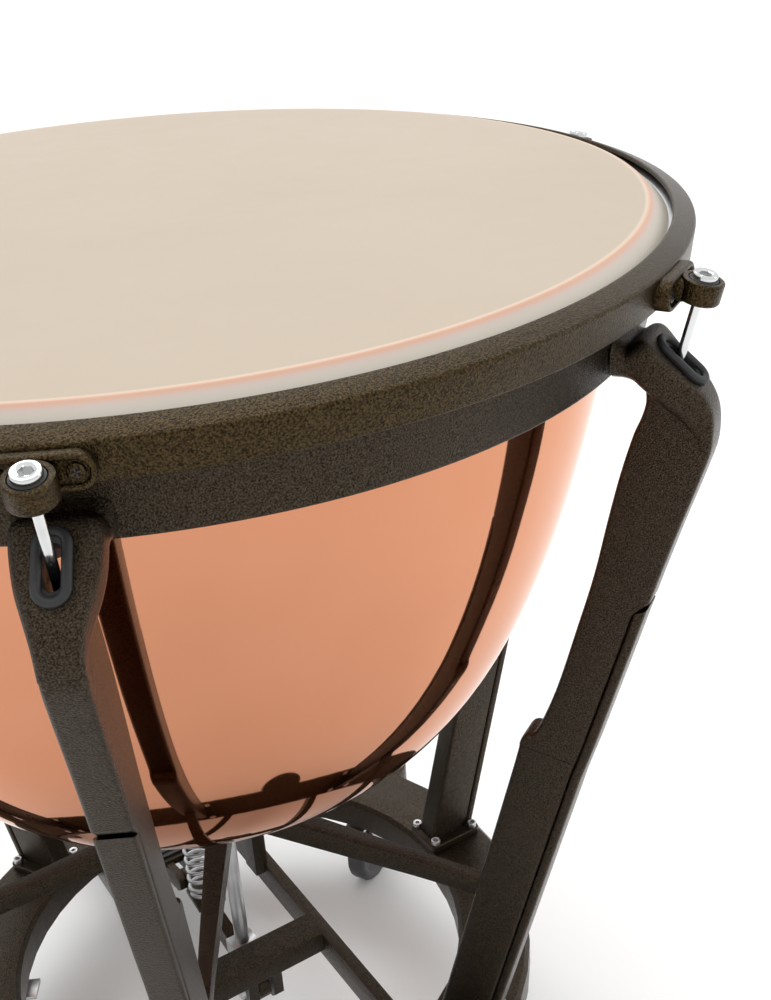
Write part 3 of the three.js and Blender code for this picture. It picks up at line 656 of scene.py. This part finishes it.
def make_strut():
    """A hollow web under a thick head, let open for rod, grommet and spider, on a bolted foot."""
    rows = smooth_rows([(*inner, *outer, half) for inner, outer, half in STATIONS])
    step = next(k for k, row in enumerate(rows) if row[3] < COVER_TOP + 12)
    extra = [rows[step - 1] + (rows[step] - rows[step - 1]) * t for t in (0.2, 0.4, 0.6, 0.8)]
    rows = rows[:step] + extra + rows[step:]
    body = skin("strut_body", [strut_section(row, 3.2) for row in trimmed(rows)], graphite, 38)
    inside = [row for row in trimmed(rows) if -92.0 > row[3] > STRUT_FOOT + 14]
    cut(body, skin("strut_inside", [strut_section(row, 1.0, 5.0, 4.0) for row in inside], graphite))
    sections = [strut_section(row, row[5]) for row in smooth_rows(HEAD_ROWS, 5)]
    head = skin("strut_head", sections, graphite, 60)
    pocket = [[ON_SEAT @ Vector(point) for point in raised(stadium(15.5, 6.8), z)] for z in (-34, 14)]
    seat = [[ON_SEAT @ Vector(point) for point in raised(stadium(21.3, 10.4), z)] for z in (0, 10)]
    cut(head, skin("strut_seat", seat, graphite))
    for solid in (head, body):
        cut(solid, skin("strut_pocket", pocket, graphite))
        cut(solid, lathe("rod_path", [(5.5, -130), (5.5, -45)], graphite, 24, closed=False, place=ON_ROD))
    opening = ((-6.5, -19), (6.5, -19), (6.5, 10), (-6.5, 10))
    slot = [[Vector((x, y * MM, SPIDER_Z + z * MM)) for y, z in opening] for x in (0.230, 0.276)]
    cut(body, skin("strut_slot", slot, graphite))
    foot_z, foot_r, half_long, half_wide, thick = HOOP_TOP + STRUT_FOOT * MM, 243, 30, 23, 8.0
    plan = rounded([(x, y, 6) for x, y in ((213, -23), (273, -23), (273, 23), (213, 23))])
    levels = []
    for z, inward in ((0, 0.8), (0.8, 0), (7.0, 0), (thick, 1.0)):
        narrow, slim = 1 - inward / half_long, 1 - inward / half_wide
        levels.append([
            Vector(((foot_r + (x - foot_r) * narrow) * MM, y * slim * MM, foot_z + z * MM)) for x, y in plan
        ])
    foot = skin("strut_foot", levels, graphite)
    bolt = [(hexagon(4), 1.5), (hexagon(4), 4.6), (3.6, 5.0), (4.4, 4.7), (4.7, 4.0), (4.7, 0)]
    bolts = []
    for x in (220, 266):
        for y in (-17, 17):
            place = Matrix.Translation((x * MM, y * MM, foot_z + thick * MM))
            bolts.append(lathe("strut_bolt", bolt, steel, 24, closed=False, place=place))
    master = join("strut_master", [body, head, foot, *bolts])
    six_fold(master, "strut_casting", "root", "graphite_coat", "strut")


def make_cover():
    """The strip let into the strut's outer edge, from under the head to the foot."""
    heights = [COVER_TOP - 1.2, -268.0, -300.0, -326.0, -368.0, -402.0, -500.0, -600.0, STRUT_FOOT + 9.0]
    sections = []
    for i, height in enumerate(heights):
        rise = 4.8 if i == 0 else 0.0
        row = (outer_edge(height) - COVER_THICK, height, outer_edge(height + rise), height + rise, 12.0)
        sections.append(strut_section(row, 2.6))
    master = skin("cover_master", sections, graphite, 38)
    six_fold(master, "strut_cover_strip", "root", "graphite_coat", "strut_cover")


def make_grommet():
    """A rolled rubber lip round an oval slot, with its sleeve going down into the strut."""
    steps, rise, sleeve_end = 12, 2.2, -7.5
    lip = []
    for k in range(steps + 1):
        turn = math.radians(-20 + 220 * k / steps)
        grow = 2.83 * math.cos(turn)
        lip.append(raised(stadium(18.27 + grow, 7.37 + grow), rise + rise * math.sin(turn)))
    lip_edge, sleeve = raised(stadium(20.9, 10.0), 0.2), raised(stadium(15.0, 6.3), sleeve_end)
    mouth, throat = raised(stadium(12.6, 4.7), 0.5), raised(stadium(12.6, 4.7), sleeve_end)
    rings = [sleeve, lip_edge, *lip, mouth, throat, sleeve]
    master = band("grommet_master", rings, rubber, cap=False, place=ON_SEAT)
    six_fold(master, "rod_grommet_lip", "root", "black_rubber", "rod_grommet")


make_strut()
make_cover()
make_grommet()


# ---- Mechanism and base: CAD shapes with their edges rounded -----------------------------------------
def refine(node, body, slot, material, width=0.9):
    """A CAD node's own shape as a new piece with rounded edges and smooth round faces."""
    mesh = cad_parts[node].data.copy()
    mesh.materials.clear()
    mesh.materials.append(material)
    obj = bpy.data.objects.new(f"{node}_body", mesh)
    bpy.context.scene.collection.objects.link(obj)
    work = bmesh.new()
    work.from_mesh(mesh)
    bmesh.ops.remove_doubles(work, verts=work.verts, dist=1e-5)
    bmesh.ops.dissolve_limit(work, angle_limit=math.radians(1.0), verts=work.verts, edges=work.edges)
    work.to_mesh(mesh)
    work.free()
    modifier = obj.modifiers.new("round", "BEVEL")
    modifier.width = width * MM
    modifier.segments = 2
    modifier.limit_method = "ANGLE"
    modifier.angle_limit = math.radians(35)
    apply_modifiers(obj)
    soften(obj.data, 34)
    settle(obj, body, slot, node)


# Node, body, slot, material, width of the rounded edges in mm.
NODE_LOOKS = [
    ("vent_ring", "root", "plain_steel", steel, 0.8),
    ("spider", "tension_frame", "graphite_coat", graphite, 1.5),
    ("pull_rod", "tension_frame", "plain_steel", steel, 0.8),
    ("rocker_lever", "rocker", "graphite_coat", graphite, 0.8),
    ("rocker_axle", "root", "plain_steel", steel, 0.8),
    ("spring_adjuster", "spring_adjuster", "plain_steel", steel, 1.0),
    ("base_frame", "root", "graphite_coat", graphite, 1.6),
    ("pedal_casting", "pedal", "graphite_coat", graphite, 0.9),
    ("pedal_tread", "pedal", "black_rubber", rubber, 0.7),
    ("pedal_axle", "root", "plain_steel", steel, 1.0),
]
for k in (1, 2, 3):
    NODE_LOOKS += [
        (f"caster_fork_{k}", f"caster_{k}", "plain_steel", steel, 0.5),
        (f"caster_wheel_{k}", f"wheel_{k}", "tyre_grey", tyre, 1.0),
        (f"caster_brake_{k}", f"brake_{k}", "plain_steel", steel, 0.5),
    ]
for look in NODE_LOOKS:
    refine(*look)


def make_spring():
    """A coil between the rocker's seat and the adjuster's cup."""
    low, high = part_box("balance_spring")
    centre = (low + high) / 2
    wire, turns, steps, sides = 2.0 * MM, 7, 24, 8
    flat_end = 0.07   # share of the coil's length that lies flat at each end
    radius = (high.x - low.x) / 2 - wire
    climb = high.z - low.z - 2 * wire
    points, faces = [], []
    total = turns * steps
    for k in range(total + 1):
        t = k / total
        angle = math.tau * turns * t
        rise = low.z + wire + climb * min(max((t - flat_end) / (1 - 2 * flat_end), 0.0), 1.0)
        out = Vector((math.cos(angle), math.sin(angle), 0))
        middle = Vector((centre.x, centre.y, rise)) + out * radius
        for s in range(sides):
            turn = math.tau * s / sides
            points.append(middle + out * wire * math.cos(turn) + Vector((0, 0, wire * math.sin(turn))))
    for k in range(total):
        for s in range(sides):
            a, b = k * sides + s, k * sides + (s + 1) % sides
            faces.append((a, b, b + sides, a + sides))
    faces += [tuple(range(sides)), tuple(range(total * sides, total * sides + sides))]
    coil = piece("balance_spring_coil", points, faces, steel, 60)
    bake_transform(coil)
    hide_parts("balance_spring")


make_spring()


# ---- Stage, light and camera -------------------------------------------------------------------------
def make_floor():
    """A wide sheet of white paper, just under the wheels."""
    material, shader = new_material("floor_paper", Roughness=0.9)
    tones = [(0.3, (0.93, 0.93, 0.93)), (0.7, (0.95, 0.95, 0.945))]
    link(material, ramp(material, noise(material, 1.5), tones), shader.inputs["Base Color"])
    half = 12.0
    corners = [(-half, -half, 0), (half, -half, 0), (half, half, 0), (-half, half, 0)]
    floor = piece("floor", corners, [(0, 1, 2, 3)], material)
    if floor.data.polygons[0].normal.z < 0:
        floor.data.flip_normals()
    floor.location.z = -0.0005


def make_light(name, place, target, size, power):
    """A soft box of a width and height in metres, turned to its target."""
    data = bpy.data.lights.new(name, "AREA")
    data.shape, data.size, data.size_y = "RECTANGLE", size[0], size[1]
    data.energy = power
    lamp = bpy.data.objects.new(name, data)
    lamp.location = place
    lamp.rotation_euler = (Vector(target) - Vector(place)).to_track_quat("-Z", "Y").to_euler()
    bpy.context.scene.collection.objects.link(lamp)


def make_world():
    """White all round, a little brighter overhead."""
    world = bpy.data.worlds.new("studio")
    bpy.context.scene.world = world
    world.use_nodes = True
    background = world.node_tree.nodes["Background"]
    background.inputs["Color"].default_value = (1.0, 1.0, 1.0, 1.0)
    coordinates = add_node(world, "ShaderNodeTexCoord")
    split = add_node(world, "ShaderNodeSeparateXYZ")
    rise = add_node(world, "ShaderNodeMapRange")
    rise.inputs["From Min"].default_value, rise.inputs["From Max"].default_value = 0.2, 0.9
    rise.inputs["To Min"].default_value, rise.inputs["To Max"].default_value = 0.97, 1.18
    link(world, coordinates.outputs["Generated"], split.inputs["Vector"])
    link(world, split.outputs["Z"], rise.inputs["Value"])
    link(world, rise.outputs["Result"], background.inputs["Strength"])


def make_camera():
    """Above the audience side, turned a little off the drum's middle and rolled slightly.

    bearing is where the camera stands round the drum, and heading is where it looks, both from +X.
    """
    bearing, distance, above = math.radians(68.87), 0.9729, 0.2401
    heading, tilt, roll = math.radians(238.88), math.radians(26.86), math.radians(-3.85)
    level = Vector((math.cos(heading), math.sin(heading), 0))
    right = Vector((math.sin(heading), -math.cos(heading), 0))
    forward = level * math.cos(tilt) - Vector((0, 0, math.sin(tilt)))
    up = level * math.sin(tilt) + Vector((0, 0, math.cos(tilt)))
    x_axis = right * math.cos(roll) + up * math.sin(roll)
    y_axis = up * math.cos(roll) - right * math.sin(roll)
    turn = Matrix((x_axis, y_axis, -forward)).transposed()
    data = bpy.data.cameras.new("camera")
    data.sensor_width = 36.0
    data.lens = 47.3
    camera = bpy.data.objects.new("camera", data)
    place = Vector((math.cos(bearing) * distance, math.sin(bearing) * distance, HOOP_TOP + above))
    camera.matrix_world = Matrix.Translation(place) @ turn.to_4x4()
    bpy.context.scene.collection.objects.link(camera)
    bpy.context.scene.camera = camera


make_floor()
make_light("crown_softbox", (-0.75, -1.9, 3.7), (0.1, 0.3, 0.85), (3.2, 1.8), 50.0)
make_light("side_softbox", (-2.6, 1.6, 1.9), (0, 0, 0.6), (0.9, 1.6), 8.0)
make_light("top_softbox", (0.5, 0.6, 3.0), (0, 0, 0.6), (0.35, 0.35), 6.0)
make_world()
make_camera()
bpy.context.scene.view_settings.view_transform = "Standard"
